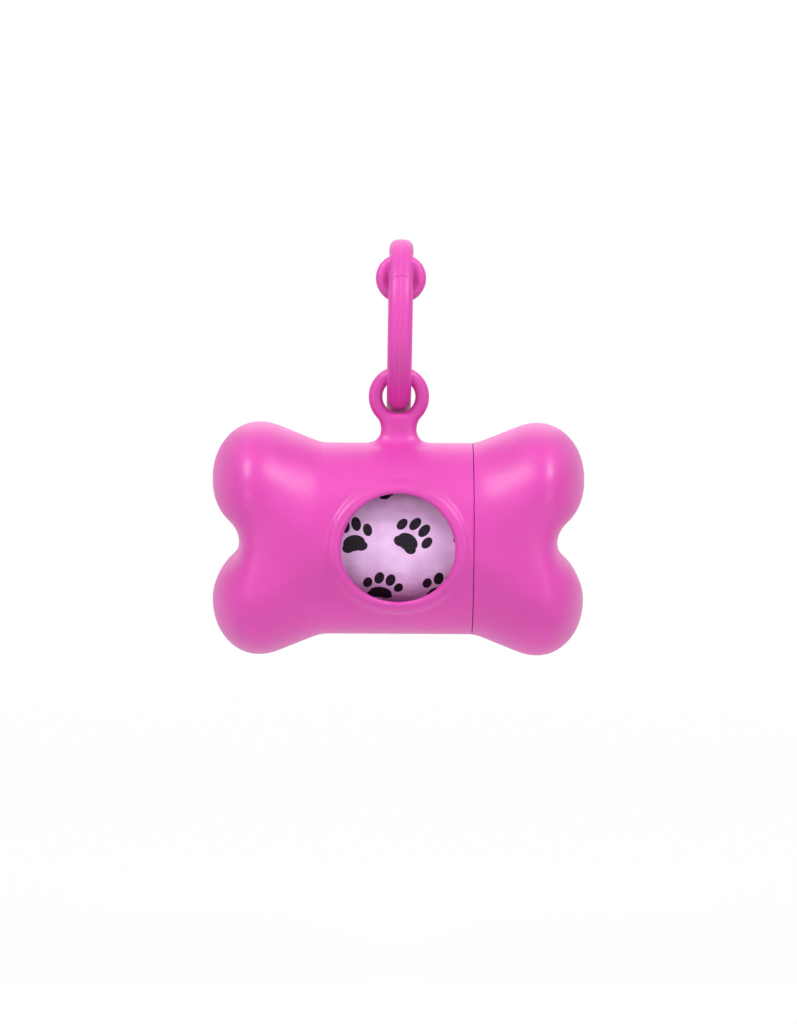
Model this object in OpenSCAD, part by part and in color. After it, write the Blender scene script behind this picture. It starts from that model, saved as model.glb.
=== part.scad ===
// Bone-shaped holder for a roll of dog waste bags, hanging from an open hoop that snaps shut.
// Millimetres, +Z up. Bone frame: X along the bone, Y away from the dispensing hole, centre of the
// barrel at zero. Every node is then moved so that the origin is the lead's seat in the hoop.

/* [Bone case] */
// How far the roll's end reaches past the highest point of a knob
roll_past_knob = 0.2; // [0:0.1:0.8]
// Height of a knob's own centre above the axis
knob_z = 13.8; // [13:0.1:15]
// From a knob's highest point out to the bone's end
knob_out = 10.3; // [9:0.1:12]
// From a knob's highest point in to where its own curve would end
knob_in = 11.8; // [10.5:0.1:13]
// Half height of a knob
knob_half_h = 12.0; // [11.2:0.1:12.6]
// Depth of the bone at its knobs, front to back
knob_depth = 42.4; // [38:0.2:46]
// Distance from the middle of the bone to where the flare starts
flare_start = 17.06; // [16.5:0.02:18.5]
// Half height of the flat band across a knob's front
knob_flat = 9.0; // [6:0.2:10]
// Where the notch's curve leaves the knob, as an angle round the knob
notch_angle = 51; // [48:1:54]
// How softly the notch rolls over into the front and back
notch_soft = 3.2; // [2:0.1:4.5]
// Wall of every case shell
wall = 1.8; // [1.4:0.1:2.2]

/* [Seam and thread] */
// How far before the flare the seam lies
seam_back = 0.45; // [0.3:0.05:0.6]
// Dark gap between the bone's case and its cap
seam_gap = 0.32; // [0.2:0.02:0.5]
// How far the cap's threaded collar reaches into the mouth
spigot_len = 3.5; // [3:0.1:3.6]
// Travel of the cap in one full turn
thread_lead = 6; // [5:0.1:6.4]
// Angle that one thread ridge covers
thread_arc = 48; // [36:2:56]
// Thickness of a thread ridge along the axis
thread_w = 0.7; // [0.6:0.05:0.8]
// Height of a thread ridge
ridge_h = 0.55; // [0.4:0.05:0.6]
// Wall of the threaded collar
collar_wall = 1.0; // [0.9:0.05:1.1]
// Wall of the threaded mouth ring
mouth_wall = 1.2; // [1.1:0.05:1.3]
// Thickness of the seal ring along the axis
seal_w = 0.7; // [0.5:0.05:0.9]

/* [Dispensing hole] */
// Diameter of the hole that a bag is pulled through
hole_d = 25; // [20:0.5:25]
// Width of the raised lip round the hole
lip_w = 3; // [2:0.1:3]
// Height of the lip above the barrel
lip_h = 0.9; // [0.5:0.1:1.4]

/* [Eye] */
// Diameter of the hole in the eye
eye_hole_d = 7.4; // [7.2:0.1:8.4]
// Thickness of the eye's ring, across the ring
eye_t = 2.95; // [2.4:0.05:3.4]
// Depth of the eye, front to back
eye_depth = 3.9; // [3.2:0.1:4.2]
// Height of the eye's centre above the top of the barrel
eye_rise = 10.3; // [9.6:0.1:12]
// Width of the neck at its narrowest
neck_w = 7.9; // [7:0.1:9]
// Depth of the neck, front to back
neck_depth = 5; // [4:0.1:6]
// Radius of the fillets at the neck's root
neck_fillet = 3; // [2.4:0.1:3.4]

/* [Hook] */
// Outside diameter of the hoop
hoop_d = 40; // [39:0.2:44]
// Width of the hoop's strap
strap_w = 5.3; // [4.6:0.1:5.6]
// Thickness of the hoop's strap
strap_t = 3.6; // [3.2:0.1:3.8]
// Radius along the strap's edges
strap_edge = 1.5; // [1.3:0.05:1.6]
// How steeply the hoop's centre lies above and behind the eye
hoop_lean = 54; // [53:0.5:58]
// How far the middle of the strap passes beyond the middle of the eye
strap_drop = 0.25; // [0.15:0.05:0.35]
// Angle up the front of the hoop at which the fixed strap's tip ends
tip_angle = 38; // [32:1:42]
// Angle over the top of the hoop at which the springy arm is rooted
root_angle = 140; // [132:1:146]
// Diameter of the round thumb disc behind the tip
disc_d = 11.1; // [9:0.1:12]
// Thickness of the thumb disc
disc_t = 3.2; // [2.6:0.1:3.6]
// Width of the straight rim between the disc's rounded edges
disc_rim = 0.4; // [0.2:0.1:1]
// Angle by which the disc leans back
disc_lean = 20; // [14:1:24]
// Height of the disc's centre above the hoop's centre
disc_rise = 12; // [11.4:0.1:12.6]
// How far the disc's centre lies in front of the hoop's centre
disc_ahead = 12; // [11:0.1:12.6]
// Clearance where the springy arm meets the fixed strap
hook_clear = 0.15; // [0.1:0.01:0.25]

/* [Bag roll] */
// Diameter of the roll of bags
roll_d = 32; // [30:0.5:34]
// Clearance between the roll and the collar that it is put in through
roll_clear = 0.45; // [0.3:0.05:1]
// Length of the roll of bags
roll_len = 62; // [56:1:68]
// Outside diameter of the card core
core_d = 14; // [12:0.5:18]
// Wall of the card core
core_wall = 1; // [0.8:0.1:1.6]

/* [Inside fittings] */
// Diameter of the posts that key the front and rear shells together
post_d = 4; // [3.4:0.1:4.4]
// Diameter of the locating pins on those posts
pin_d = 1.8; // [1.4:0.1:2]
// Length of the locating pins
pin_len = 2.5; // [1.5:0.1:4]

/* [Hidden] */
$fn = 96;
pink = [0.90, 0.33, 0.73];
film = [0.87, 0.74, 0.90];
card = [0.75, 0.62, 0.45];
dark_pink = [0.72, 0.22, 0.55];

// Fits and small steps
glue_gap = 0.05;       // between pieces bonded into one body
run_gap = 0.05;        // running fit of the seal ring on the collar
thread_gap = 0.15;     // clearance round the thread
pin_gap = 0.05;        // round a locating pin
flange_gap = 0.1;      // from the cap's edge in to the collar's flange
tuck = 0.03;           // the knob shells start this far inside the barrel's wall
tuck_len = 0.6;
eps = 0.01;

// Radii from the roll outwards: collar, thread, mouth ring and the barrel's wall
collar_in_r = roll_d / 2 + roll_clear;
collar_out_r = collar_in_r + collar_wall;
bore_r = collar_out_r + thread_gap + ridge_h;
mouth_out_r = bore_r + mouth_wall;
inner_r = mouth_out_r + glue_gap;
barrel_r = inner_r + wall;

// The knobs lie at the roll's ends
roll_end_x = roll_len / 2;
knob_x = roll_end_x - roll_past_knob;

// ---- Outline of the bone, for the skin that lies t inside the outer one ----
function smooth(v) = let (c = min(1, max(0, v))) c * c * (3 - 2 * c);
function arch(v) = sqrt(max(0, 1 - v * v));
function knob_h(t) = knob_half_h - t;
// the flare is the straight line from the barrel's end that touches the knob's curve
function tangent_angle(t) = let (u = (knob_x - flare_start) / (knob_in - t),
                                 v = (barrel_r - t - knob_z) / knob_h(t))
    atan2(v, u) + acos(1 / norm([u, v]));
function tangent_x(t) = knob_x - (knob_in - t) * cos(tangent_angle(t));
function tangent_z(t) = knob_z + knob_h(t) * sin(tangent_angle(t));
function end_x(t) = knob_x + knob_out - t;

// Upper edge of the bone at x
function top_z(x, t) =
    x > knob_x ? knob_z + knob_h(t) * arch((x - knob_x) / (knob_out - t)) :
    x > tangent_x(t) ? knob_z + knob_h(t) * arch((knob_x - x) / (knob_in - t)) :
    barrel_r - t + (tangent_z(t) - barrel_r + t)
        * max(0, x - flare_start) / (tangent_x(t) - flare_start);

// The notch is an arc that touches both knobs at notch_angle
function notch_k(t) = let (b = knob_h(t), s = sin(notch_angle)) b * (knob_z - b * s) / s;
function notch_cx(t) = let (a = knob_out - t, c = cos(notch_angle))
    knob_x + a * c + notch_k(t) * c / a;
function notch_r(t) = let (a = knob_out - t, b = knob_h(t))
    notch_k(t) * sqrt(pow(cos(notch_angle) / a, 2) + pow(sin(notch_angle) / b, 2));
function notch_x(t) = notch_cx(t) - notch_r(t);
function notch_join_x(t) = knob_x + (knob_out - t) * cos(notch_angle);
// Square of the notch's half height at x, negative where there is no notch
function notch_sq(x, t) = x > notch_join_x(t)
    ? pow(knob_z - knob_h(t) * arch((x - knob_x) / (knob_out - t)), 2)
    : pow(notch_r(t), 2) - pow(notch_cx(t) - x, 2);
function notch_z(x, t) = sqrt(max(0, notch_sq(x, t)));

// ---- Half depth of the bone at x, z ----
function swell(x) = smooth((x - flare_start) / (knob_x - flare_start));
function band(x) = knob_flat * swell(x);
function soft_sq(x) = pow(notch_soft * swell(x), 2) + eps;
function round_top(x, z, t) = let (c = band(x), u = max(0, z - c) / (top_z(x, t) - c)) 1 - u * u;
function round_notch(x, z, t) = let (q = max(0, z * z - notch_sq(x, t))) q / (q + soft_sq(x));
function crest_z(x, t) = x < knob_x ? band(x)
    : knob_flat + (knob_z - knob_flat) * pow((x - knob_x) / (knob_out - t), 2);
function crest(x, t) = let (z = crest_z(x, t)) round_top(x, z, t) * round_notch(x, z, t);
function mid_depth(x, t) = (barrel_r + (knob_depth / 2 - barrel_r) * swell(x) - t)
    * (x < knob_x ? 1 : arch((x - knob_x) / (knob_out - t)));
function depth(x, z, t) = mid_depth(x, t)
    * sqrt(max(0, round_top(x, z, t) * round_notch(x, z, t)) / crest(x, t));

// ---- Grid of the knob end's skin: columns along X, rows up each half ----
cols_in = 12;
cols_out = 10;
cols = cols_in + cols_out;
rows = 14;
crowd = 1.6;           // how much the columns crowd towards the notch
function col_x(i, x0, t) = i <= cols_in
    ? x0 + tuck_len * min(i, 1)
        + (notch_x(t) - x0 - tuck_len) * (1 - pow(1 - max(0, i - 1) / (cols_in - 1), crowd))
    : notch_x(t) + (end_x(t) - notch_x(t)) * (1 - cos(180 * (i - cols_in) / cols_out)) / 2;
function row_f(j, x, t) = let (v = j / rows, s = smooth((x - knob_x) / (notch_x(t) - knob_x)))
    (1 - s) * sin(90 * v) + s * (1 - cos(180 * v)) / 2;
function skin_point(i, j, up, x0, t, dt) =
    let (x = col_x(i, x0, t), tt = t + (i < 2 ? dt : 0),
         low = i <= cols_in ? 0 : notch_z(x, tt), high = i == cols ? knob_z : top_z(x, tt),
         z = i == cols ? knob_z : low + (high - low) * row_f(j, x, t),
         flat = i == cols || j == rows || (j == 0 && i >= cols_in))
    [x, flat ? 0 : depth(x, z, tt), up * z];
function skin_points(x0, t, dt) =
    [for (up = [1, -1]) for (i = [0 : cols]) for (j = [0 : rows]) skin_point(i, j, up, x0, t, dt)];
skin_count = 2 * (cols + 1) * (rows + 1);
// index of a grid point: both halves share the row on the axis, and the tip is one point
function at(skin, half, i, j) = skin * skin_count
    + ((half == 1 && j == 0 && i <= cols_in) ? i * (rows + 1)
       : (half * (cols + 1) + i) * (rows + 1) + (i == cols ? 0 : j));
function tri(a, b, c) = (a == b || b == c || a == c) ? [] : [[a, b, c]];
function quad(a, b, c, d) = concat(tri(a, b, c), tri(a, c, d));
function flip(q, on) = on ? [for (f = q) [f[2], f[1], f[0]]] : q;
function skin_faces(skin, half, turn) = [for (i = [0 : cols - 1]) for (j = [0 : rows - 1])
    for (f = flip(quad(at(skin, half, i, j), at(skin, half, i + 1, j),
                       at(skin, half, i + 1, j + 1), at(skin, half, i, j + 1)), turn)) f];
// flat rims: the parting plane along the top and the notch, and the open end
function rim_faces(half) = concat(
    [for (i = [0 : cols - 1]) for (f = flip(quad(at(0, half, i, rows), at(0, half, i + 1, rows),
        at(1, half, i + 1, rows), at(1, half, i, rows)), half == 1)) f],
    [for (i = [cols_in : cols - 1]) for (f = flip(quad(at(1, half, i, 0), at(1, half, i + 1, 0),
        at(0, half, i + 1, 0), at(0, half, i, 0)), half == 1)) f],
    [for (j = [0 : rows - 1]) for (f = flip(quad(at(0, half, 0, j), at(0, half, 0, j + 1),
        at(1, half, 0, j + 1), at(1, half, 0, j)), half == 1)) f]);

// Rear half of a hollow knob end on the +X side, open at x0, in the space y >= 0
module knob_end(x0, dt) {
    polyhedron(points = concat(skin_points(x0, 0, dt), skin_points(x0, wall, -dt)),
               faces = concat(skin_faces(0, 0, false), skin_faces(0, 1, true),
                              skin_faces(1, 0, true), skin_faces(1, 1, false),
                              rim_faces(0), rim_faces(1)));
}

// ---- Places along the bone ----
seam_x = flare_start - seam_back;
case_end_x = seam_x - seam_gap / 2;
cap_start_x = seam_x + seam_gap / 2;
knob_start_x = flare_start - tuck_len;
post_r = post_d / 2;
post_x = max(roll_end_x + post_r + 1, notch_x(wall) + 0.4);
post_z = knob_flat + post_r;

// Half a tube round the X axis, in the space y >= 0
module half_tube(x0, x1, ri, ro) {
    translate([x0, 0, 0]) rotate([0, 90, 0])
        rotate_extrude(angle = 180) translate([ri, 0]) square([ro - ri, x1 - x0]);
}
module tube_x(x0, x1, ri, ro) {
    translate([x0, 0, 0]) rotate([0, 90, 0])
        rotate_extrude() translate([ri, 0]) square([ro - ri, x1 - x0]);
}
module rod_y(x, z, y0, y1, d) {
    translate([x, y0, z]) rotate([-90, 0, 0]) cylinder(d = d, h = y1 - y0);
}

// ---- Posts that key the front and rear shells: pins in front, sockets at the rear ----
// they end inside the wall, measured where it lies nearest
post_reach = depth(post_x + post_r, post_z, wall / 2);
module posts(side, sockets) {
    for (up = [1, -1]) difference() {
        rod_y(side * post_x, up * post_z, 0, post_reach, post_d);
        if (sockets) rod_y(side * post_x, up * post_z, -1, pin_len + 0.3, pin_d + 2 * pin_gap);
    }
    if (!sockets) for (up = [1, -1]) rod_y(side * post_x, up * post_z, -pin_len, eps, pin_d);
}

// ---- Eye and its neck, the half in the space y >= 0 ----
eye_z = barrel_r + eye_rise;
eye_hole_r = eye_hole_d / 2;
eye_r = eye_hole_r + eye_t;
eye_mid_r = eye_hole_r + eye_t / 2;
module eye_section() {
    straight = eye_depth / 2 - eye_t / 2;
    translate([eye_mid_r, straight]) intersection() {
        circle(d = eye_t);
        translate([-eye_t, 0]) square(2 * eye_t);
    }
    translate([eye_hole_r, 0]) square([eye_t, straight]);
}
module neck_outline() {
    foot_z = sqrt(inner_r * inner_r - pow(neck_w / 2, 2)) + wall / 3;
    fillet_z = barrel_r + neck_fillet;
    difference() {
        translate([-neck_w / 2 - neck_fillet, foot_z])
            square([neck_w + 2 * neck_fillet, eye_z - eye_mid_r * 0.6 - foot_z]);
        for (side = [1, -1]) translate([side * (neck_w / 2 + neck_fillet), fillet_z]) {
            circle(r = neck_fillet);
            translate([-neck_fillet, 0]) square([2 * neck_fillet, eye_r]);
        }
        translate([0, eye_z]) circle(r = eye_mid_r);
    }
}
module eye_half() {
    translate([0, 0, eye_z]) rotate([-90, 0, 0]) rotate_extrude() eye_section();
    rotate([90, 0, 0]) translate([0, 0, -neck_depth / 2])
        linear_extrude(neck_depth / 2) neck_outline();
}

// ---- Case: the barrel and the left knobs ----
module case_half(sockets) {
    mirror([1, 0, 0]) knob_end(knob_start_x, tuck);
    half_tube(-knob_start_x - tuck_len / 2, case_end_x, inner_r, barrel_r);
    eye_half();
    posts(-1, sockets);
}
hole_r = hole_d / 2;
lip_r = hole_r + lip_w;
module lip() {
    intersection() {
        rotate([90, 0, 0]) difference() {
            cylinder(r = lip_r, h = 2 * barrel_r);
            translate([0, 0, -1]) cylinder(r = hole_r - eps, h = 2 * barrel_r + 2);
        }
        tube_x(-lip_r - 1, lip_r + 1, inner_r + wall / 2, barrel_r + lip_h);
    }
}
module front_shell() {
    color(pink) difference() {
        union() {
            mirror([0, 1, 0]) case_half(false);
            lip();
        }
        rotate([90, 0, 0]) translate([0, 0, inner_r / 2]) cylinder(r = hole_r, h = 2 * barrel_r);
    }
}
module rear_shell() {
    color(pink) case_half(true);
}

// ---- Screw thread between the cap and the mouth ----
seal_x = cap_start_x + flange_gap - glue_gap - seal_w;
mouth_end_x = seal_x - glue_gap;
spigot_x = cap_start_x - spigot_len - seam_gap;
mouth_start_x = spigot_x - 0.2;
flange_w = 1.6;
ridge_turn = thread_arc / 2;
ridge_steps = 16;
male_x = spigot_x + thread_w / 2 + 0.1 + thread_lead * ridge_turn / 360;
female_x = male_x + thread_w + thread_gap;

// One ridge along a right-hand helix round the X axis, between radii r0 and r1
module ridge(x_mid, angle_mid, r0, r1) {
    function ring(k) = let (a = -ridge_turn + thread_arc * k / ridge_steps,
                            x = x_mid + thread_lead * a / 360, w = thread_w / 2,
                            c = cos(a + angle_mid), s = sin(a + angle_mid))
        [[x - w, r0 * c, r0 * s], [x + w, r0 * c, r0 * s],
         [x + w, r1 * c, r1 * s], [x - w, r1 * c, r1 * s]];
    polyhedron(
        points = [for (k = [0 : ridge_steps]) each ring(k)],
        faces = concat([[0, 1, 2, 3]],
            [for (k = [0 : ridge_steps - 1]) for (e = [0 : 3])
                for (f = quad(4 * k + e, 4 * k + 4 + e,
                              4 * k + 4 + (e + 1) % 4, 4 * k + (e + 1) % 4)) f],
            [[for (e = [3 : -1 : 0]) 4 * ridge_steps + e]]));
}
module mouth_ring() {
    color(dark_pink) {
        tube_x(mouth_start_x, mouth_end_x, bore_r, mouth_out_r);
        for (start = [0, 180])
            ridge(female_x, start, bore_r - ridge_h, bore_r + mouth_wall / 2);
    }
}
module cap_collar() {
    color(dark_pink) {
        tube_x(spigot_x, cap_start_x + flange_w, collar_in_r, collar_out_r);
        tube_x(cap_start_x + flange_gap, cap_start_x + flange_w, collar_out_r - eps, mouth_out_r);
        for (start = [0, 180])
            ridge(male_x, start, collar_out_r - collar_wall / 2, collar_out_r + ridge_h);
    }
}
module seal_ring() {
    color(dark_pink)
        tube_x(seal_x, seal_x + seal_w, collar_out_r + run_gap, bore_r + mouth_wall / 2);
}

// ---- Cap: the right knobs ----
module cap_half(sockets) {
    knob_end(cap_start_x, 0);
    posts(1, sockets);
}
module cap_front_shell() {
    color(pink) mirror([0, 1, 0]) cap_half(false);
}
module cap_rear_shell() {
    color(pink) cap_half(true);
}

// ---- Hook: a hoop in the YZ plane, angles from its front up over the top ----
hoop_r = hoop_d / 2;
strap_mid_r = hoop_r - strap_t / 2;
strap_in_r = hoop_r - strap_t;
hoop_y = (strap_mid_r - strap_drop) * cos(hoop_lean);
hoop_z = eye_z + (strap_mid_r - strap_drop) * sin(hoop_lean);
// the tip and the arm meet on an upright plane, so the arm can swing down and inwards
scarf_y = hoop_y - hoop_r * cos(tip_angle);
disc_y = hoop_y - disc_ahead;
function hoop_at(r, a) = [0, hoop_y - r * cos(a), hoop_z + r * sin(a)];

module strap_section() {
    translate([strap_mid_r, 0]) {
        square([strap_t, strap_w - 2 * strap_edge], center = true);
        square([strap_t - 2 * strap_edge, strap_w], center = true);
        for (u = [1, -1]) for (v = [1, -1])
            translate([u * (strap_t / 2 - strap_edge), v * (strap_w / 2 - strap_edge)])
                circle(r = strap_edge);
    }
}
// Hoop's own frame turned up by an angle: X outwards, Y round the hoop, Z across the strap
module turned(a) {
    translate([0, hoop_y, hoop_z]) rotate([90, 0, 0]) rotate([0, -90, 0]) rotate([0, 0, a])
        children();
}
module strap(a0, a1) {
    turned(a0) rotate_extrude(angle = a1 - a0) strap_section();
}
module hook_ring() {
    color(pink) difference() {
        strap(root_angle, 360 + tip_angle + 12);
        root_rod(strap_t + 2 * hook_clear);
        translate([-strap_w, scarf_y, hoop_z]) cube([2 * strap_w, hoop_r, hoop_r]);
    }
}
// Round disc with rounded rims that leans back
module thumb_disc() {
    edge = disc_t / 2 - disc_rim / 2;
    translate([0, disc_y, hoop_z + disc_rise]) rotate([-90 - disc_lean, 0, 0])
        rotate_extrude() {
            square([disc_d / 2 - edge, disc_t]);
            translate([0, edge]) square([disc_d / 2, disc_t - 2 * edge]);
            for (y = [edge, disc_t - edge]) translate([disc_d / 2 - edge, y]) circle(r = edge);
        }
}
root_step = 0.1;       // the arm's rounded root is this much slimmer than the strap
tip_lap = 26;          // angle by which the arm reaches down behind the tip
// Rod through the springy arm's root, and the space that lies past the root
module root_rod(d) {
    translate(hoop_at(strap_mid_r, root_angle)) rotate([0, 90, 0])
        cylinder(d = d, h = 2 * strap_w, center = true);
}
module past_root() {
    turned(root_angle) translate([strap_mid_r - strap_t, 0, -strap_w])
        cube([2 * strap_t, 2 * strap_t, 2 * strap_w]);
}
module hook_gate() {
    color(pink) {
        difference() {
            strap(tip_angle - tip_lap, root_angle + 8);
            translate([-strap_w, scarf_y + hook_clear - hoop_r, hoop_z - hoop_r])
                cube([2 * strap_w, hoop_r, 2 * hoop_r]);
            difference() {
                past_root();
                root_rod(strap_t - root_step);
            }
        }
        thumb_disc();
    }
}

// ---- Bag roll ----
module bag_roll() {
    color(film) tube_x(-roll_end_x, roll_end_x, core_d / 2 + glue_gap, roll_d / 2);
}
module roll_core() {
    color(card) tube_x(-roll_end_x, roll_end_x, core_d / 2 - core_wall, core_d / 2);
}

// The origin is the lead's seat, inside the top of the hoop
module hung() {
    translate([0, -hoop_y, -hoop_z - strap_in_r]) children();
}
hung() front_shell();
hung() rear_shell();
hung() mouth_ring();
hung() cap_front_shell();
hung() cap_rear_shell();
hung() cap_collar();
hung() seal_ring();
hung() hook_ring();
hung() hook_gate();
hung() bag_roll();
hung() roll_core();
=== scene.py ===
"""Looks of a bone-shaped dispenser for rolls of waste bags, hung on an open hoop hook.

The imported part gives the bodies, the thread fittings and the card core. This script models the
visible shells, the hook and the wound film in their place and gives every piece its finish.
Shapes are made in millimetres in the bone's frame: X along the bone towards the cap, Y away
from the dispensing hole, Z up, zero in the middle of the barrel. They reach the part's frame
last. Noise scales and reliefs are in metres.
"""

import logging
import math
from dataclasses import dataclass
from enum import Enum
from typing import Sequence

import bmesh
import bpy
import numpy as np
from bmesh.types import BMEdge, BMesh, BMVert
from bpy.types import Material, Node, NodeSocket, NodeTree, Object
from mathutils import Matrix, Vector, noise


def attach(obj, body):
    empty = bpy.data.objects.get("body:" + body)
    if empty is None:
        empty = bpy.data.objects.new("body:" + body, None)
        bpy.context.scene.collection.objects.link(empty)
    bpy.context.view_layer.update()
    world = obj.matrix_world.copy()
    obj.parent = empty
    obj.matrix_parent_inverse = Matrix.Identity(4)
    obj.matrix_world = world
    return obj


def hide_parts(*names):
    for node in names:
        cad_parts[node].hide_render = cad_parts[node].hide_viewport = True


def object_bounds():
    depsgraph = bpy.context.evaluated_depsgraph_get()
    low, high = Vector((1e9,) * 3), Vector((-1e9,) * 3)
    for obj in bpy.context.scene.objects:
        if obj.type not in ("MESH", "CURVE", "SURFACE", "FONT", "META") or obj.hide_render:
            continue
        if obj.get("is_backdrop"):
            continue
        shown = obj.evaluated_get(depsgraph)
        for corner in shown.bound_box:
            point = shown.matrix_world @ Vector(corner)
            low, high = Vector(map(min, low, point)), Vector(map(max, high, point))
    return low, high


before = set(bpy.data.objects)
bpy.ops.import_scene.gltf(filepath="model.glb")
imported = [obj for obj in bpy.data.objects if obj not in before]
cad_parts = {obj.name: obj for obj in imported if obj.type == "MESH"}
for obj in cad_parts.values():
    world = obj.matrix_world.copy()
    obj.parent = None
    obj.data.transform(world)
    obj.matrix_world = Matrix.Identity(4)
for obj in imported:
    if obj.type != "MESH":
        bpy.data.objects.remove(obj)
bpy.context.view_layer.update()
MM = 0.001
log = logging.getLogger("dispenser")

Array = np.ndarray
Span = tuple[float, float]
Triple = tuple[float, float, float]


class Side(Enum):
    """The two parts of the bone beside the seam, by the bodies that they ride on."""

    CASE = "case"
    CAP = "cap"


def smooth_step(v: Array) -> Array:
    """Eases a ramp that is clamped to 0..1."""
    c = np.clip(v, 0.0, 1.0)
    return c * c * (3 - 2 * c)


def arch(v: Array) -> Array:
    """Height of a unit semicircle over v, zero outside it."""
    return np.sqrt(np.maximum(0.0, 1 - v * v))


@dataclass(frozen=True)
class BoneForm:
    """The bone's outer form as a half depth over its front view, in millimetres."""

    barrel_r: float = 21.2
    knob_x: float = 30.8
    knob_z: float = 13.8
    knob_out: float = 10.3
    knob_in: float = 11.8
    knob_half_h: float = 12.0
    knob_half_depth: float = 21.2
    flare_start: float = 17.06
    flare_ease: float = 1.6
    knob_flat: float = 9.0
    notch_angle: float = math.radians(53)
    notch_soft: float = 3.2
    notch_least: float = 0.01
    share_least: float = 1e-6
    search_r: float = 60.0
    search_steps: int = 26

    def top(self, x: Array, t: float) -> Array:
        """Gives the bone's upper edge in the front view.

        Args:
            x: Distance from the middle of the bone.
            t: Inset of the skin.

        Returns:
            Height above the axis.
        """
        wide, high = self.knob_in - t, self.knob_half_h - t
        # The flare's straight line touches the knob's curve at (tx, tz).
        u = (self.knob_x - self.flare_start) / wide
        v = (self.barrel_r - t - self.knob_z) / high
        angle = math.atan2(v, u) + math.acos(1 / math.hypot(u, v))
        tx = self.knob_x - wide * math.cos(angle)
        tz = self.knob_z + high * math.sin(angle)
        slope = (tz - self.barrel_r + t) / (tx - self.flare_start)
        run = x - self.flare_start
        ease = self.flare_ease
        eased = np.where(run > ease, run, np.maximum(0, run + ease) ** 2 / (4 * ease))
        line = self.barrel_r - t + slope * eased
        inner = self.knob_z + high * arch((self.knob_x - x) / wide)
        outer = self.knob_z + high * arch((x - self.knob_x) / (self.knob_out - t))
        return np.where(x > self.knob_x, outer, np.where(x > tx, inner, line))

    def notch_sq(self, x: Array, t: float) -> Array:
        """Gives the end notch's half height, squared, and negative where there is none.

        Args:
            x: Distance from the middle of the bone.
            t: Inset of the skin.

        Returns:
            The square of the half height.
        """
        a, b = self.knob_out - t, self.knob_half_h - t
        s, c = math.sin(self.notch_angle), math.cos(self.notch_angle)
        k = b * (self.knob_z - b * s) / s
        centre = self.knob_x + a * c + k * c / a
        radius_sq = k * k * ((c / a) ** 2 + (s / b) ** 2)
        knob = (self.knob_z - b * arch((x - self.knob_x) / a)) ** 2
        return np.where(x > self.knob_x + a * c, knob, radius_sq - (centre - x) ** 2)

    def depth(self, x: Array, z: Array, t: float) -> Array:
        """Gives the half depth of the bone over its front view.

        Args:
            x: Distance from the middle of the bone.
            z: Height above or below the axis.
            t: Inset of the skin.

        Returns:
            Half depth, zero at and past the outline.
        """
        swell = smooth_step((x - self.flare_start) / (self.knob_x - self.flare_start))
        band = self.knob_flat * swell
        top = self.top(x, t)
        hole = self.notch_sq(x, t)
        soft = (self.notch_soft * swell) ** 2 + self.notch_least

        def fullness(height: Array) -> Array:
            """Share of the full depth, squared, that is left at a height."""
            rise = np.maximum(0, height - band) / (top - band)
            dent = np.maximum(0, height * height - hole)
            return (1 - rise * rise) * dent / (dent + soft)

        past = np.maximum(0, x - self.knob_x) / (self.knob_out - t)
        crest = np.where(x < self.knob_x, band,
                         self.knob_flat + (self.knob_z - self.knob_flat) * past ** 2)
        middle = self.barrel_r + (self.knob_half_depth - self.barrel_r) * swell - t
        share = np.maximum(0, fullness(z)) / np.maximum(self.share_least, fullness(crest))
        return middle * arch(past) * np.sqrt(share)

    def wrap(self, rays: Array, t: float) -> Array:
        """Carries points out or in along their rays on to the bone's skin.

        Args:
            rays: Points round the middle of the bone, one a row.
            t: Inset of the skin.

        Returns:
            The points on the skin.
        """
        rays = rays / np.linalg.norm(rays, axis=1)[:, None]
        low, high = np.zeros(len(rays)), np.full(len(rays), self.search_r)
        for _ in range(self.search_steps):
            mid = (low + high) / 2
            x, y, z = np.abs(rays * mid[:, None]).T
            inside = (x < self.knob_x + self.knob_out - t) & (z * z > self.notch_sq(x, t))
            inside &= (z < self.top(x, t)) & (y < self.depth(x, z, t))
            low, high = np.where(inside, mid, low), np.where(inside, high, mid)
        return rays * low[:, None]


@dataclass(frozen=True)
class HoopForm:
    """The hook's circle in the YZ plane and its strap, in millimetres."""

    centre_y: float = 10.5507
    centre_z: float = 46.0219
    outer_r: float = 20.0
    strap_t: float = 3.6
    strap_w: float = 5.4
    strap_edge: float = 1.5
    lean: float = math.radians(0.7)
    lean_z: float = 31.5
    tip_angle: float = math.radians(38)
    root_angle: float = math.radians(140)

    @property
    def mid_r(self) -> float:
        """Radius of the strap's middle."""
        return self.outer_r - self.strap_t / 2

    @property
    def scarf_y(self) -> float:
        """Upright plane on which the tip and the arm meet."""
        return self.centre_y - self.outer_r * math.cos(self.tip_angle)

    def at(self, radius: float, angle: float) -> Vector:
        """Gives a point of the hoop's plane, by its angle from the front over the top."""
        return Vector((0, self.centre_y - radius * math.cos(angle),
                       self.centre_z + radius * math.sin(angle)))

    def leaning(self) -> Matrix:
        """Leans the hook sideways by its play in the eye."""
        foot = Matrix.Translation((0, 0, self.lean_z))
        return foot @ Matrix.Rotation(self.lean, 4, "Y") @ foot.inverted()

    def to_part(self) -> Matrix:
        """Carries the bone's frame in millimetres to the part's frame in metres."""
        seat = Vector((0, self.centre_y, self.centre_z + self.outer_r - self.strap_t))
        return Matrix.Scale(MM, 4) @ Matrix.Translation(-seat)


BONE = BoneForm()
HOOP = HoopForm()


def link(name: str, data: bpy.types.ID) -> Object:
    """Puts an object with its mesh, camera or light into the scene."""
    obj = bpy.data.objects.new(name, data)
    bpy.context.scene.collection.objects.link(obj)
    return obj


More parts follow.
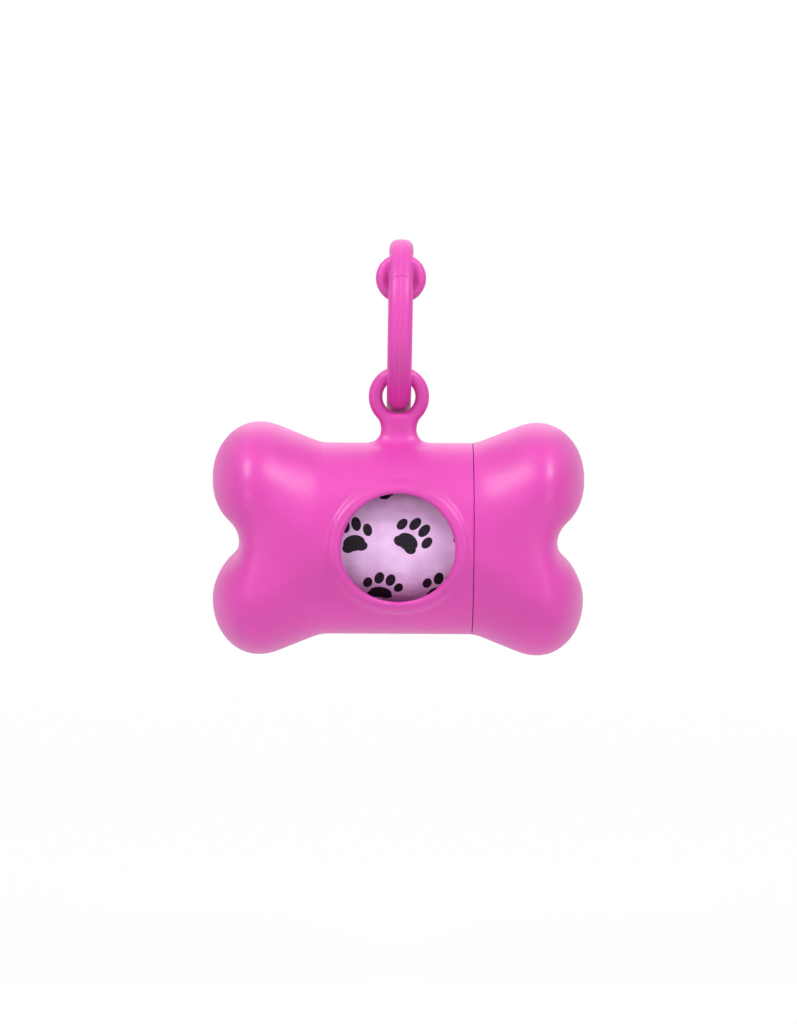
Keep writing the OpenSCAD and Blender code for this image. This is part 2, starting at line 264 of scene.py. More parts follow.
def block(low: Sequence[float], high: Sequence[float]) -> BMesh:
    """Makes a box.

    Args:
        low: Its lowest corner.
        high: Its highest corner.

    Returns:
        The box.
    """
    bm = bmesh.new()
    bmesh.ops.create_cube(bm, size=1)
    lo, hi = Vector(low), Vector(high)
    bmesh.ops.scale(bm, vec=hi - lo, verts=bm.verts)
    bmesh.ops.translate(bm, vec=(lo + hi) / 2, verts=bm.verts)
    return bm


def rod(start: Sequence[float], end: Sequence[float], radius: float,
        steps: int = 96) -> BMesh:
    """Makes a round rod.

    Args:
        start: Middle of one end.
        end: Middle of the other end.
        radius: Radius of the rod.
        steps: Number of sides.

    Returns:
        The rod.
    """
    axis = Vector(end) - Vector(start)
    bm = bmesh.new()
    bmesh.ops.create_cone(bm, cap_ends=True, segments=steps, radius1=radius,
                          radius2=radius, depth=axis.length)
    turn = axis.to_track_quat("Z", "Y").to_matrix().to_4x4()
    bm.transform(Matrix.Translation((Vector(start) + Vector(end)) / 2) @ turn)
    bm.normal_update()
    return bm


class Piece:
    """A piece in the making, in millimetres in the bone's frame."""

    def __init__(self, bm: BMesh, name: str = "piece") -> None:
        """Makes an object in the scene of a mesh.

        Args:
            bm: The mesh, which is freed.
            name: Name of the object.
        """
        mesh = bpy.data.meshes.new(name)
        bm.to_mesh(mesh)
        bm.free()
        self.obj = link(name, mesh)

    def drawn(self) -> BMesh:
        """Gives a copy of the mesh to work on."""
        bm = bmesh.new()
        bm.from_mesh(self.obj.data)
        return bm

    def discard(self) -> None:
        """Removes the mesh and with it the object."""
        bpy.data.meshes.remove(self.obj.data)

    def apply(self) -> None:
        """Turns the modifiers into the mesh."""
        graph = bpy.context.evaluated_depsgraph_get()
        made = bpy.data.meshes.new_from_object(self.obj.evaluated_get(graph))
        old = self.obj.data
        self.obj.modifiers.clear()
        self.obj.data = made
        bpy.data.meshes.remove(old)

    def add(self, lump: BMesh) -> None:
        """Lays a closed lump into the mesh.

        Args:
            lump: The lump, which is freed.
        """
        mesh = bpy.data.meshes.new("lump")
        lump.to_mesh(mesh)
        lump.free()
        whole = self.drawn()
        whole.from_mesh(mesh)
        whole.to_mesh(self.obj.data)
        whole.free()
        bpy.data.meshes.remove(mesh)

    def cut(self, tool: BMesh, operation: str = "DIFFERENCE") -> None:
        """Cuts the mesh with a closed tool.

        Args:
            tool: The tool, which is freed.
            operation: DIFFERENCE or INTERSECT.
        """
        cutter = Piece(tool, "cutter")
        knife = self.obj.modifiers.new("cut", "BOOLEAN")
        knife.operation = operation
        knife.solver = "MANIFOLD"
        knife.object = cutter.obj
        self.apply()
        cutter.discard()

    def mould(self, voxel: float, passes: int) -> None:
        """Moulds overlapping lumps into one skin with soft edges and inner corners.

        Args:
            voxel: Edge of the grid that the skin is laid on.
            passes: How often the skin is relaxed.
        """
        grid = self.obj.modifiers.new("mould", "REMESH")
        grid.mode = "VOXEL"
        grid.voxel_size = voxel
        relax = self.obj.modifiers.new("relax", "SMOOTH")
        relax.factor = 0.5
        relax.iterations = passes
        self.apply()

    def soften(self, passes: int, middles: Sequence[Triple], reach: float) -> None:
        """Relaxes the mesh round some points, less and less with the distance.

        Args:
            passes: How often the mesh is relaxed at the points themselves.
            middles: The points.
            reach: Distance at which nothing is relaxed any more.
        """
        bm = self.drawn()
        near = {v: min((v.co - Vector(m)).length for m in middles) for v in bm.verts}
        for turn in range(passes):
            limit = reach * (1 - turn / passes)
            bmesh.ops.smooth_vert(bm, verts=[v for v, far in near.items() if far < limit],
                                  factor=0.5, use_axis_x=True, use_axis_y=True,
                                  use_axis_z=True)
        bm.to_mesh(self.obj.data)
        bm.free()

    def finish(self, name: str, body: str, slot: str, material: Material,
               nodes: Sequence[str], sharp: float = 32.0) -> None:
        """Puts the piece in its place and hands it to its body.

        Args:
            name: Its name.
            body: Body that it rides on.
            slot: Not used.
            material: Its finish.
            nodes: CAD nodes that it stands for.
            sharp: Angle in degrees above which an edge stays crisp.
        """
        obj, mesh = self.obj, self.obj.data
        mesh.transform(HOOP.to_part())
        mesh.shade_smooth()
        mesh.set_sharp_from_angle(angle=math.radians(sharp))
        mesh.materials.clear()
        mesh.materials.append(material)
        obj.name = mesh.name = name
        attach(obj, body)
        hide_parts(*nodes)
        log.info("%s: %d faces on %s", name, len(mesh.polygons), body)


class Graph:
    """Short ways to lay out a shader node tree."""

    def __init__(self, tree: NodeTree) -> None:
        """Starts on an empty tree."""
        self.tree = tree
        tree.nodes.clear()

    def feed(self, socket: NodeSocket, value: object) -> None:
        """Links an input to an output, or sets its value.

        Args:
            socket: The input.
            value: An output socket or a plain value.
        """
        if isinstance(value, NodeSocket):
            self.tree.links.new(value, socket)
        else:
            socket.default_value = value

    def set(self, node: Node, *inputs: object, **values: object) -> Node:
        """Sets up a node.

        Args:
            node: The node.
            inputs: What its first inputs get, in order.
            values: Its settings, or inputs by name with underscores for spaces.

        Returns:
            The same node.
        """
        for key, value in values.items():
            if hasattr(node, key):
                setattr(node, key, value)
            else:
                self.feed(node.inputs[key.replace("_", " ")], value)
        for socket, value in zip(node.inputs, inputs):
            self.feed(socket, value)
        return node

    def add(self, kind: str, *inputs: object, **values: object) -> Node:
        """Adds a node, by its type without the ShaderNode prefix, and sets it up."""
        prefix = "" if kind.startswith("Node") else "ShaderNode"
        return self.set(self.tree.nodes.new(prefix + kind), *inputs, **values)

    def group(self, name: str, **values: object) -> Sequence[NodeSocket]:
        """Places one of the shared groups and gives its outputs."""
        return self.add("Group", node_tree=bpy.data.node_groups[name], **values).outputs

    def place(self) -> NodeSocket:
        """Gives the place on the object."""
        return self.add("TexCoord").outputs["Object"]

    def noise(self, place: NodeSocket, scale: object, detail: float,
              roughness: float = 0.5, distortion: float = 0.0) -> NodeSocket:
        """Adds a noise texture and gives its grey value."""
        return self.add("TexNoise", Vector=place, Scale=scale, Detail=detail,
                        Roughness=roughness, Distortion=distortion).outputs["Fac"]

    def maths(self, operation: str, *values: object) -> NodeSocket:
        """Adds a Math node and gives its result."""
        return self.add("Math", *values, operation=operation).outputs[0]

    def vector(self, operation: str, *values: object) -> NodeSocket:
        """Adds a Vector Math node and gives its result, a number for LENGTH."""
        node = self.add("VectorMath", *values, operation=operation)
        return node.outputs["Value" if operation == "LENGTH" else "Vector"]

    def spread(self, value: NodeSocket, low: float, high: float, out_low: float = 0.0,
               out_high: float = 1.0) -> NodeSocket:
        """Maps low..high on to out_low..out_high with a smooth ramp."""
        return self.add("MapRange", value, low, high, out_low, out_high,
                        interpolation_type="SMOOTHSTEP").outputs[0]

    def blend(self, factor: object, first: object, second: object) -> NodeSocket:
        """Mixes two colours.

        Args:
            factor: Share of the second colour.
            first: Colour at 0.
            second: Colour at 1.

        Returns:
            The mixed colour.
        """
        node = self.add("Mix", data_type="RGBA", blend_type="MIX")
        for index, value in ((0, factor), (6, first), (7, second)):
            self.feed(node.inputs[index], value)
        return node.outputs[2]

    def seen_white(self) -> NodeSocket:
        """Gives 1 for the rays that see the surroundings white, 0 for gathered light."""
        rays = self.add("LightPath").outputs
        mirrored = self.maths("MAXIMUM", rays["Is Glossy Ray"], rays["Is Transmission Ray"])
        return self.maths("MAXIMUM", rays["Is Camera Ray"], mirrored)

    def relief(self, height: NodeSocket, strength: float, depth: float) -> NodeSocket:
        """Turns a height into a normal, with a strength and a depth in metres."""
        return self.add("Bump", Strength=strength, Distance=depth,
                        Height=height).outputs["Normal"]


class Group(Graph):
    """A texture that finishes share as a node group."""

    def __init__(self, name: str, *takes: str) -> None:
        """Starts the group.

        Args:
            name: Name of the group.
            takes: Its inputs, a vector if so called and numbers otherwise.
        """
        super().__init__(bpy.data.node_groups.new(name, "ShaderNodeTree"))
        for label in takes:
            kind = "Vector" if label == "Vector" else "Float"
            self.tree.interface.new_socket(label, in_out="INPUT",
                                           socket_type="NodeSocket" + kind)
        self.entry = self.add("NodeGroupInput").outputs

    def close(self, **gives: NodeSocket) -> None:
        """Ends the group with its outputs, which are numbers.

        Args:
            gives: What each output gets.
        """
        for label in gives:
            self.tree.interface.new_socket(label, in_out="OUTPUT",
                                           socket_type="NodeSocketFloat")
        self.add("NodeGroupOutput", **gives)


@dataclass(frozen=True)
class Textures:
    """The shared textures."""

    pit_roughness: float = 0.6
    drift_scale: float = 85.0
    drift_span: Span = (0.3, 0.7)
    wear_scale: float = 700.0
    wear_bend: Span = (0.53, 0.62)
    wear_patch: Span = (0.35, 0.7)
    line_edge: Span = (0.00007, 0.00016)
    paw_turn: float = 0.75
    paw_size: Triple = (10.4, 10.05, 0.0)
    paw_edge: Span = (1.03, 0.95)
    paw_far: float = 9.0
    paw_pads: tuple[tuple[float, float, float, float], ...] = (
        (0.0, -1.35, 1.95, 1.45), (-1.15, -2.05, 1.1, 0.9), (1.15, -2.05, 1.1, 0.9),
        (-2.75, 0.55, 0.8, 1.15), (-1.0, 1.95, 0.85, 1.3), (1.0, 1.95, 0.85, 1.3),
        (2.75, 0.55, 0.8, 1.15))

    def grain(self) -> None:
        """Lays the spark-eroded pits of a moulded skin and a slow drift of -1 to 1."""
        g = Group("moulded_grain", "Pits per metre")
        place = g.place()
        pits = g.noise(place, g.entry["Pits per metre"], 2.0, self.pit_roughness)
        drift = g.noise(place, self.drift_scale, 3.0)
        g.close(Height=pits, Shift=g.spread(drift, *self.drift_span, -1.0, 1.0))

    def wear(self) -> None:
        """Lays the polish that handling leaves along raised edges."""
        g = Group("edge_wear", "Amount")
        bend = g.add("NewGeometry").outputs["Pointiness"]
        patch = g.noise(g.place(), self.wear_scale, 3.0)
        worn = g.maths("MULTIPLY", g.spread(bend, *self.wear_bend),
                       g.spread(patch, *self.wear_patch))
        g.close(Mask=g.maths("MULTIPLY", worn, g.entry["Amount"]))

    def line(self) -> None:
        """Lays the fine line that the halves of a mould leave along a piece's middle."""
        g = Group("mould_line", "Foot", "Lean")
        place = g.add("SeparateXYZ", Vector=g.place()).outputs
        rise = g.maths("SUBTRACT", place["Z"], g.entry["Foot"])
        middle = g.maths("MULTIPLY", rise, g.entry["Lean"])
        off = g.maths("ABSOLUTE", g.maths("SUBTRACT", place["X"], middle))
        g.close(Mask=g.spread(off, *self.line_edge, 1.0, 0.0))

    def paws(self) -> None:
        """Lays paw prints in staggered rows of cells, each turned its own way."""
        g = Group("paw_prints", "Vector")
        split = g.add("SeparateXYZ", Vector=g.entry["Vector"]).outputs
        row = g.maths("FLOOR", split["Y"])
        stagger = g.maths("MULTIPLY", g.maths("FLOORED_MODULO", row, 2.0), 0.5)
        along = g.maths("ADD", split["X"], stagger)
        cell = g.add("CombineXYZ", X=g.maths("FLOOR", along), Y=row).outputs[0]
        across, up = (g.maths("SUBTRACT", g.maths("FRACT", way), 0.5)
                      for way in (along, split["Y"]))
        local = g.add("CombineXYZ", X=across, Y=up).outputs[0]
        chance = g.add("TexWhiteNoise", noise_dimensions="2D", Vector=cell).outputs["Value"]
        turned = g.add("VectorRotate", rotation_type="Z_AXIS", Vector=local,
                       Angle=g.spread(chance, 0.0, 1.0, -self.paw_turn, self.paw_turn))
        sized = g.vector("MULTIPLY", turned.outputs[0], self.paw_size)
        nearest: object = self.paw_far
        for x, y, half_w, half_h in self.paw_pads:
            offset = g.vector("SUBTRACT", sized, (x, y, 0.0))
            scaled = g.vector("DIVIDE", offset, (half_w, half_h, 1.0))
            nearest = g.maths("MINIMUM", nearest, g.vector("LENGTH", scaled))
        g.close(Mask=g.spread(nearest, *self.paw_edge))

    def build(self) -> None:
        """Builds every group."""
        for lay in (self.grain, self.wear, self.line, self.paws):
            lay()


def shade(colour: Triple, gain: float = 1.0, lift: float = 0.0) -> tuple[float, ...]:
    """Scales and lifts a colour and gives it its alpha."""
    return tuple(min(1.0, c * gain + lift) for c in colour) + (1.0,)


def new_material(name: str) -> tuple[Material, Graph, Node]:
    """Starts a material with a Principled shader on its output.

    Args:
        name: Name of the material.

    Returns:
        The material, its graph and the shader.
    """
    material = bpy.data.materials.new(name)
    material.use_nodes = True
    graph = Graph(material.node_tree)
    shader = graph.add("BsdfPrincipled")
    graph.add("OutputMaterial", Surface=shader.outputs["BSDF"])
    return material, graph, shader


@dataclass(frozen=True)
class MouldedPlastic:
    """Soft-touch plastic with a fine eroded grain."""

    name: str
    colour: Triple
    roughness: float
    gloss: float = 0.5
    pits: float = 2500.0
    grain: Span = (0.45, 0.00011)
    tone_drift: float = 0.03
    rough_drift: float = 0.025
    wear: float = 0.35
    # Lighter pink for worn edges, also used as the mould line's painted highlight.
    wear_and_highlight_gain: float = 1.15
    wear_and_highlight_lift: float = 0.03
    worn_polish: float = 0.12
    mould_line: bool = False
    line_rise: float = 1.4
    line_paling_and_highlight: float = 0.5

    def build(self) -> Material:
        """Builds the material."""
        material, g, shader = new_material(self.name)
        grain = g.group("moulded_grain", Pits_per_metre=self.pits)
        worn = g.group("edge_wear", Amount=self.wear)["Mask"]
        tone = g.blend(g.spread(grain["Shift"], -1.0, 1.0),
                       shade(self.colour, 1 - self.tone_drift),
                       shade(self.colour, 1 + self.tone_drift))
        wear_and_line_highlight, height = worn, grain["Height"]
        if self.mould_line:
            foot = (HOOP.to_part() @ Vector((0, 0, HOOP.lean_z))).z
            line = g.group("mould_line", Foot=foot, Lean=math.tan(HOOP.lean))["Mask"]
            height = g.maths("MULTIPLY_ADD", line, self.line_rise, height)
            # The mould line is painted paler. This is partly whitening of the flash and partly a
            # painted highlight that stands in for light on its ridge.
            wear_and_line_highlight = g.maths("MULTIPLY_ADD", line, self.line_paling_and_highlight, wear_and_line_highlight)
        drift = g.maths("MULTIPLY_ADD", grain["Shift"], self.rough_drift, self.roughness)
        # Worn edges and the mould line's painted highlight both blend towards the lighter pink.
        g.set(shader,
              Base_Color=g.blend(wear_and_line_highlight, tone,
                                 shade(self.colour, self.wear_and_highlight_gain, self.wear_and_highlight_lift)),
              Roughness=g.maths("MULTIPLY_ADD", worn, -self.worn_polish, drift),
              Specular_IOR_Level=self.gloss,
              Normal=g.relief(height, *self.grain))
        return material


@dataclass(frozen=True)
class PrintedFilm:
    """Thin lilac film printed with black paw prints."""

    name: str
    colour: Triple
    ink: Triple = (0.010, 0.005, 0.012)
    roughness: float = 0.5
    ink_roughness: float = 0.2
    gloss: float = 0.24
    pale_gain: float = 1.08
    deep_gains: Triple = (0.93, 0.84, 0.94)
    cloud_scale: float = 160.0
    cloud_span: Span = (0.35, 0.65)
    fleck_scale: float = 2600.0
    fleck_span: Span = (0.26, 0.4)
    fleck_cover: float = 0.93
    crease_scale: float = 420.0
    crease_noise: Triple = (5.0, 0.55, 0.6)
    crease: Span = (0.35, 0.0002)

    def build(self) -> Material:
        """Builds the material."""
        material, g, shader = new_material(self.name)
        place = g.place()
        paws = g.group("paw_prints", Vector=g.add("UVMap", uv_map="film").outputs["UV"])
        deep = shade(tuple(c * gain for c, gain in zip(self.colour, self.deep_gains)))
        film = g.blend(g.spread(g.noise(place, self.cloud_scale, 4.0), *self.cloud_span),
                       deep, shade(self.colour, self.pale_gain))
        fleck = g.noise(place, self.fleck_scale, 2.0)
        cover = g.maths("MULTIPLY", paws["Mask"],
                        g.spread(fleck, *self.fleck_span, self.fleck_cover, 1.0))
        crease = g.noise(place, self.crease_scale, *self.crease_noise)
        g.set(shader, Base_Color=g.blend(cover, film, shade(self.ink)),
              Roughness=g.maths("MULTIPLY_ADD", cover, self.ink_roughness, self.roughness),
              Specular_IOR_Level=self.gloss,
              Normal=g.relief(crease, *self.crease))
        return material


@dataclass(frozen=True)
class Card:
    """Grey-brown wound card."""

    name: str
    colour: Triple
    roughness: float = 0.7
    dark_gain: float = 0.72
    fibre_scale: float = 2400.0
    fibre_stretch: Triple = (0.25, 1.0, 1.0)
    fibre_span: Span = (0.3, 0.7)
    fibre_roughness: float = 0.2
    fibre: Span = (0.5, 0.00005)

    def build(self) -> Material:
        """Builds the material."""
        material, g, shader = new_material(self.name)
        stretched = g.vector("MULTIPLY", g.place(), self.fibre_stretch)
        fibre = g.noise(stretched, self.fibre_scale, 6.0)
        g.set(shader,
              Base_Color=g.blend(g.spread(fibre, *self.fibre_span),
                                 shade(self.colour, self.dark_gain), shade(self.colour)),
              Roughness=g.maths("MULTIPLY_ADD", fibre, self.fibre_roughness,
                                self.roughness),
              Normal=g.relief(fibre, *self.fibre))
        return material


PINK: Triple = (0.625, 0.048, 0.375)


class Finishes:
    """Every finish of the dispenser, built once."""

    def __init__(self) -> None:
        """Builds the shared groups and the materials."""
        Textures().build()
        self.shell = MouldedPlastic("soft_pink", PINK, 0.40).build()
        self.hook = MouldedPlastic("hook_pink", PINK, 0.44, pits=2700.0,
                                   mould_line=True).build()
        self.fitting = MouldedPlastic("fitting_pink", (0.62, 0.06, 0.34), 0.42,
                                      pits=4200.0, wear=0.5).build()
        self.seal = MouldedPlastic("seal_rubber", (0.42, 0.035, 0.22), 0.6, gloss=0.3,
                                   pits=3400.0, wear=0.1).build()
        self.film = PrintedFilm("printed_film", (0.80, 0.55, 0.83)).build()
        self.card = Card("core_card", (0.44, 0.31, 0.19)).build()


@dataclass
class CaseAndCap:
    """The bone's shells, moulded as one skin and parted at the seam, front from rear."""

    finish: Material
    wall: float = 1.8
    case_end_x: float = 16.26
    cap_start_x: float = 16.44
    parting: float = 0.04
    reach: Triple = (60.0, 40.0, 60.0)
    voxel: float = 0.3
    passes: int = 8
    outer_fineness: int = 7
    inner_fineness: int = 6
    eye_z: float = 31.5
    eye_hole_r: float = 3.7
    eye_t: float = 2.95
    eye_half_depth: float = 1.95
    eye_growth: float = 0.07
    neck_half_w: float = 3.93
    neck_half_d: float = 2.4
    neck_fillet: float = 3.0
    neck_sink: float = 3.0
    neck_top_z: float = 27.6
    neck_spread: float = 0.105
    neck_round_x: float = 0.8
    neck_round_y: float = 0.62
    hole_r: float = 13.0
    hole_y: Span = (-40.0, -8.0)
    oval: float = 0.962
    oval_low: float = 0.26
    bead_r: float = 13.92
    bead_half_w: float = 1.66
    bead_half_h: float = 1.64
    bead_sink: float = 0.73

    def skin(self, t: float, fineness: int) -> BMesh:
        """Shapes the bone's skin out of a fine ball.

        Args:
            t: Inset of the skin.
            fineness: How often the ball is subdivided.

        Returns:
            The closed skin.
        """
        bm = bmesh.new()
        bmesh.ops.create_icosphere(bm, subdivisions=fineness, radius=1)
        rays = np.array([v.co for v in bm.verts])
        for v, place in zip(bm.verts, BONE.wrap(rays, t)):
            v.co = place
        return bm

    def eye(self) -> BMesh:
        """Spins the eye's ring."""
        bm = bmesh.new()
        tube = self.eye_t / 2 + self.eye_growth
        bmesh.ops.create_circle(bm, segments=36, radius=tube)
        straight = self.eye_half_depth - self.eye_t / 2
        for v in bm.verts:
            v.co = Vector((self.eye_hole_r + self.eye_t / 2 + v.co.x,
                           v.co.y + math.copysign(straight, v.co.y), self.eye_z))
        bmesh.ops.spin(bm, geom=bm.verts[:] + bm.edges[:], cent=(0, 0, self.eye_z),
                       axis=(0, 1, 0), angle=math.tau, steps=120, use_merge=True)
        bmesh.ops.recalc_face_normals(bm, faces=bm.faces)
        return bm

    def neck(self) -> BMesh:
        """Draws the neck up from its flared foot on the barrel to the eye."""
        foot, waist = BONE.barrel_r, BONE.barrel_r + self.neck_fillet
        levels = [foot - self.neck_sink, *np.linspace(foot, waist, 12),
                  *np.linspace(waist, self.neck_top_z, 8)[1:]]
        bm = bmesh.new()
        bmesh.ops.create_circle(bm, segments=64, radius=1, cap_ends=True,
                                matrix=Matrix.Translation((0, 0, levels[0])))
        loop = bm.edges[:]
        for low, high in zip(levels, levels[1:]):
            made = bmesh.ops.extrude_edge_only(bm, edges=loop)["geom"]
            loop = [e for e in made
                    if isinstance(e, BMEdge) and all(v in made for v in e.verts)]
            bmesh.ops.translate(bm, vec=(0, 0, high - low),
                                verts=[v for v in made if isinstance(v, BMVert)])
        bmesh.ops.contextual_create(bm, geom=loop)
        for v in bm.verts:
            rise = min(1.0, max(0.0, (waist - v.co.z) / self.neck_fillet))
            flare = self.neck_fillet * (1 - math.sqrt(1 - rise * rise))
            spread = flare + self.neck_spread * max(0.0, v.co.z - waist) ** 2
            c, s = v.co.x, v.co.y
            x = (self.neck_half_w + spread) * math.copysign(abs(c) ** self.neck_round_x, c)
            y = (self.neck_half_d + flare) * math.copysign(abs(s) ** self.neck_round_y, s)
            sag = BONE.barrel_r - math.sqrt(BONE.barrel_r ** 2 - y * y)
            v.co = (x, y, v.co.z - sag * rise)
        bmesh.ops.recalc_face_normals(bm, faces=bm.faces)
        return bm

    def flatten(self, bm: BMesh) -> None:
        """Gives a round form the hole's oval and place."""
        bmesh.ops.scale(bm, vec=(1, 1, self.oval), verts=bm.verts)
        bmesh.ops.translate(bm, vec=(0, 0, -self.oval_low), verts=bm.verts)

    def bead(self) -> BMesh:
        """Spins the lip round the hole and lays it along the barrel."""
        bm = bmesh.new()
        bmesh.ops.create_circle(bm, segments=48, radius=1)
        for v in bm.verts:
            v.co = (self.bead_r + self.bead_half_w * v.co.x, self.bead_half_h * v.co.y, 0)
        bmesh.ops.spin(bm, geom=bm.verts[:] + bm.edges[:], cent=(0, 0, 0), axis=(0, 1, 0),
                       angle=math.tau, steps=220, use_merge=True)
        self.flatten(bm)
        for v in bm.verts:
            v.co.y -= math.sqrt(BONE.barrel_r ** 2 - v.co.z ** 2) - self.bead_sink
        bmesh.ops.recalc_face_normals(bm, faces=bm.faces)
        return bm

    def hole(self) -> BMesh:
        """Makes the tool that opens the dispensing hole inside its lip."""
        front, back = self.hole_y
        bm = rod((0, front, 0), (0, back, 0), self.hole_r, 200)
        self.flatten(bm)
        return bm

    def build(self) -> None:
        """Moulds the bone and parts it into its four shells."""
        whole = Piece(self.skin(0.0, self.outer_fineness))
        whole.cut(self.hole())
        for lump in (self.eye(), self.neck(), self.bead()):
            whole.add(lump)
        whole.mould(self.voxel, self.passes)
        whole.cut(self.skin(self.wall, self.inner_fineness))
        for side in Side:
            for back in (False, True):
                low, high = [-c for c in self.reach], list(self.reach)
                if side is Side.CASE:
                    high[0] = self.case_end_x
                else:
                    low[0] = self.cap_start_x
                (low if back else high)[1] = self.parting / 2 * (1 if back else -1)
                shell = Piece(whole.drawn())
                shell.cut(block(low, high), "INTERSECT")
                node = ("cap_" if side is Side.CAP else "") + ("rear" if back else "front")
                shell.finish(f"{node}_shell_skin", side.value, "case_pink", self.finish,
                             [f"{node}_shell"])
        whole.discard()


@dataclass
class Hook:
    """The open hoop hook: its fixed strap and the springy arm with the thumb disc."""

    finish: Material
    clear: float = 0.07
    crown: float = 0.5
    corner_steps: int = 8
    flat_cuts: int = 6
    flat_least: float = 0.5
    spin_step: float = 2.5
    tip_gap: float = 0.05
    tip_arch: float = 4.2
    tip_above: float = 0.2
    tip_spare: float = math.radians(12)
    tip_lap: float = math.radians(26)
    arm_slim: float = 0.02
    root_slim: float = 0.05
    root_edge: float = 1.3
    disc_r: float = 5.55
    disc_t: float = 3.2
    disc_edge: float = 1.35
    disc_lean: float = math.radians(15)
    disc_dish: float = 0.24
    disc_rings: tuple[Span, ...] = ((0.35, 0.3), (0.8, 1.0), (1.1, 0.7))
    disc_rise: float = 12.0
    disc_ahead: float = 12.0
    tool_half_w: float = 9.0
    tool_spare: float = 2.0
    voxel: float = 0.16
    ring_passes: int = 4
    arm_passes: int = 5
    joint_passes: int = 70
    joint_reach: float = 2.6
    joint_at: Triple = (2.6, 1.6, 62.1)

    def strap(self, start: float, end: float, width: float) -> BMesh:
        """Spins a stretch of the rounded strap round the hoop.

        Args:
            start: Angle where it starts.
            end: Angle where it ends.
            width: Width of the strap.

        Returns:
            The closed stretch.
        """
        bm = bmesh.new()
        bmesh.ops.create_grid(bm, x_segments=1, y_segments=1, size=0.5)
        bmesh.ops.scale(bm, vec=(width, HOOP.strap_t, 1), verts=bm.verts)
        bmesh.ops.bevel(bm, geom=bm.verts[:], offset=HOOP.strap_edge,
                        segments=self.corner_steps, affect="VERTICES", profile=0.5,
                        material=-1)
        flats = [e for e in bm.edges if e.calc_length() > self.flat_least]
        bmesh.ops.subdivide_edges(bm, edges=flats, cuts=self.flat_cuts)
        for v in bm.verts:
            if v.co.y > 0:
                v.co.y -= self.crown * (2 * v.co.x / width) ** 2
        across = Matrix.Rotation(start, 4, "X")
        out = Matrix.Translation((0, HOOP.mid_r, 0))
        mirror = Matrix.Scale(-1, 4, (0, 1, 0))
        centre = Matrix.Translation((0, HOOP.centre_y, HOOP.centre_z))
        bm.transform(centre @ mirror @ across @ out)
        steps = round(math.degrees(end - start) / self.spin_step)
        bmesh.ops.spin(bm, geom=bm.faces[:], cent=(0, HOOP.centre_y, HOOP.centre_z),
                       axis=(-1, 0, 0), angle=end - start, steps=steps)
        bmesh.ops.recalc_face_normals(bm, faces=bm.faces)
        return bm

    def root_rod(self, radius: float, width: float, edge: float) -> BMesh:
        """Makes the round rod at the arm's root.

        Args:
            radius: Radius of the rod.
            width: Its length across the strap.
            edge: Rounding of its rims, none at 0.

        Returns:
            The rod.
        """
        middle = HOOP.at(HOOP.mid_r, HOOP.root_angle)
        half = Vector((width / 2, 0, 0))
        bm = rod(middle - half, middle + half, radius, 48)
        if edge:
            rims = [e for e in bm.edges if abs(e.verts[0].co.x - e.verts[1].co.x) < 1e-4]
            bmesh.ops.bevel(bm, geom=rims, offset=edge, segments=5, affect="EDGES",
                            profile=0.5, material=-1)
        return bm

    def disc(self) -> BMesh:
        """Makes the thumb disc, leaning back, with its rounded rims and shallow dish."""
        face = Vector((0, HOOP.centre_y - self.disc_ahead, HOOP.centre_z + self.disc_rise))
        back = Vector((0, math.cos(self.disc_lean), -math.sin(self.disc_lean)))
        bm = rod(face, face + back * self.disc_t, self.disc_r)
        rims = [e for e in bm.edges if any(len(f.verts) > 4 for f in e.link_faces)]
        bmesh.ops.bevel(bm, geom=rims, offset=self.disc_edge, segments=6, affect="EDGES",
                        profile=0.5, material=-1)
        front = min((f for f in bm.faces if len(f.verts) > 4),
                    key=lambda f: f.calc_center_median().y)
        for inset, share in self.disc_rings:
            bmesh.ops.inset_region(bm, faces=[front], thickness=inset,
                                   depth=-self.disc_dish * share)
        return bm

    def tip_tool(self) -> BMesh:
        """Makes the tool that leaves an arched end on the fixed strap's tip."""
        top = HOOP.centre_z + HOOP.outer_r * math.sin(HOOP.tip_angle) + self.tip_above
        wide, y = self.tool_half_w, HOOP.scarf_y
        tool = Piece(block((-wide, y - wide, top - self.tip_arch * 0.5),
                           (wide, y + 0.5, top + 6)))
        tool.cut(rod((0, y - 12, top - self.tip_arch), (0, y + 2, top - self.tip_arch),
                     self.tip_arch))
        bm = tool.drawn()
        tool.discard()
        return bm

    def build(self) -> None:
        """Moulds both parts of the hook."""
        span, wide = HOOP.outer_r, self.tool_half_w
        over = HOOP.centre_z + span + self.tool_spare
        ring_end = math.tau + HOOP.tip_angle + self.tip_spare
        ring = Piece(self.strap(HOOP.root_angle, ring_end, HOOP.strap_w))
        ring.cut(self.root_rod(HOOP.strap_t / 2 + self.clear, 12, 0))
        ring.cut(block((-wide, HOOP.scarf_y, HOOP.centre_z),
                       (wide, HOOP.scarf_y + span, over)))
        ring.cut(self.tip_tool())
        ring.mould(self.voxel, self.ring_passes)
        ring.obj.data.transform(HOOP.leaning())
        ring.finish("hook_ring_skin", "hook", "hook_pink", self.finish, ["hook_ring"])

        width = HOOP.strap_w - 2 * self.arm_slim
        arm = Piece(self.strap(HOOP.tip_angle - self.tip_lap, HOOP.root_angle, width))
        front = HOOP.scarf_y + self.tip_gap
        arm.cut(block((-wide, front - span, HOOP.centre_z - span), (wide, front, over)))
        arm.add(self.root_rod(HOOP.strap_t / 2 - self.root_slim, width, self.root_edge))
        arm.add(self.disc())
        arm.mould(self.voxel, self.arm_passes)
        x, y, z = self.joint_at
        arm.soften(self.joint_passes, [(-x, y, z), (x, y, z)], self.joint_reach)
        arm.obj.data.transform(HOOP.leaning())
        arm.finish("hook_arm_skin", "gate", "hook_pink", self.finish, ["hook_gate"])


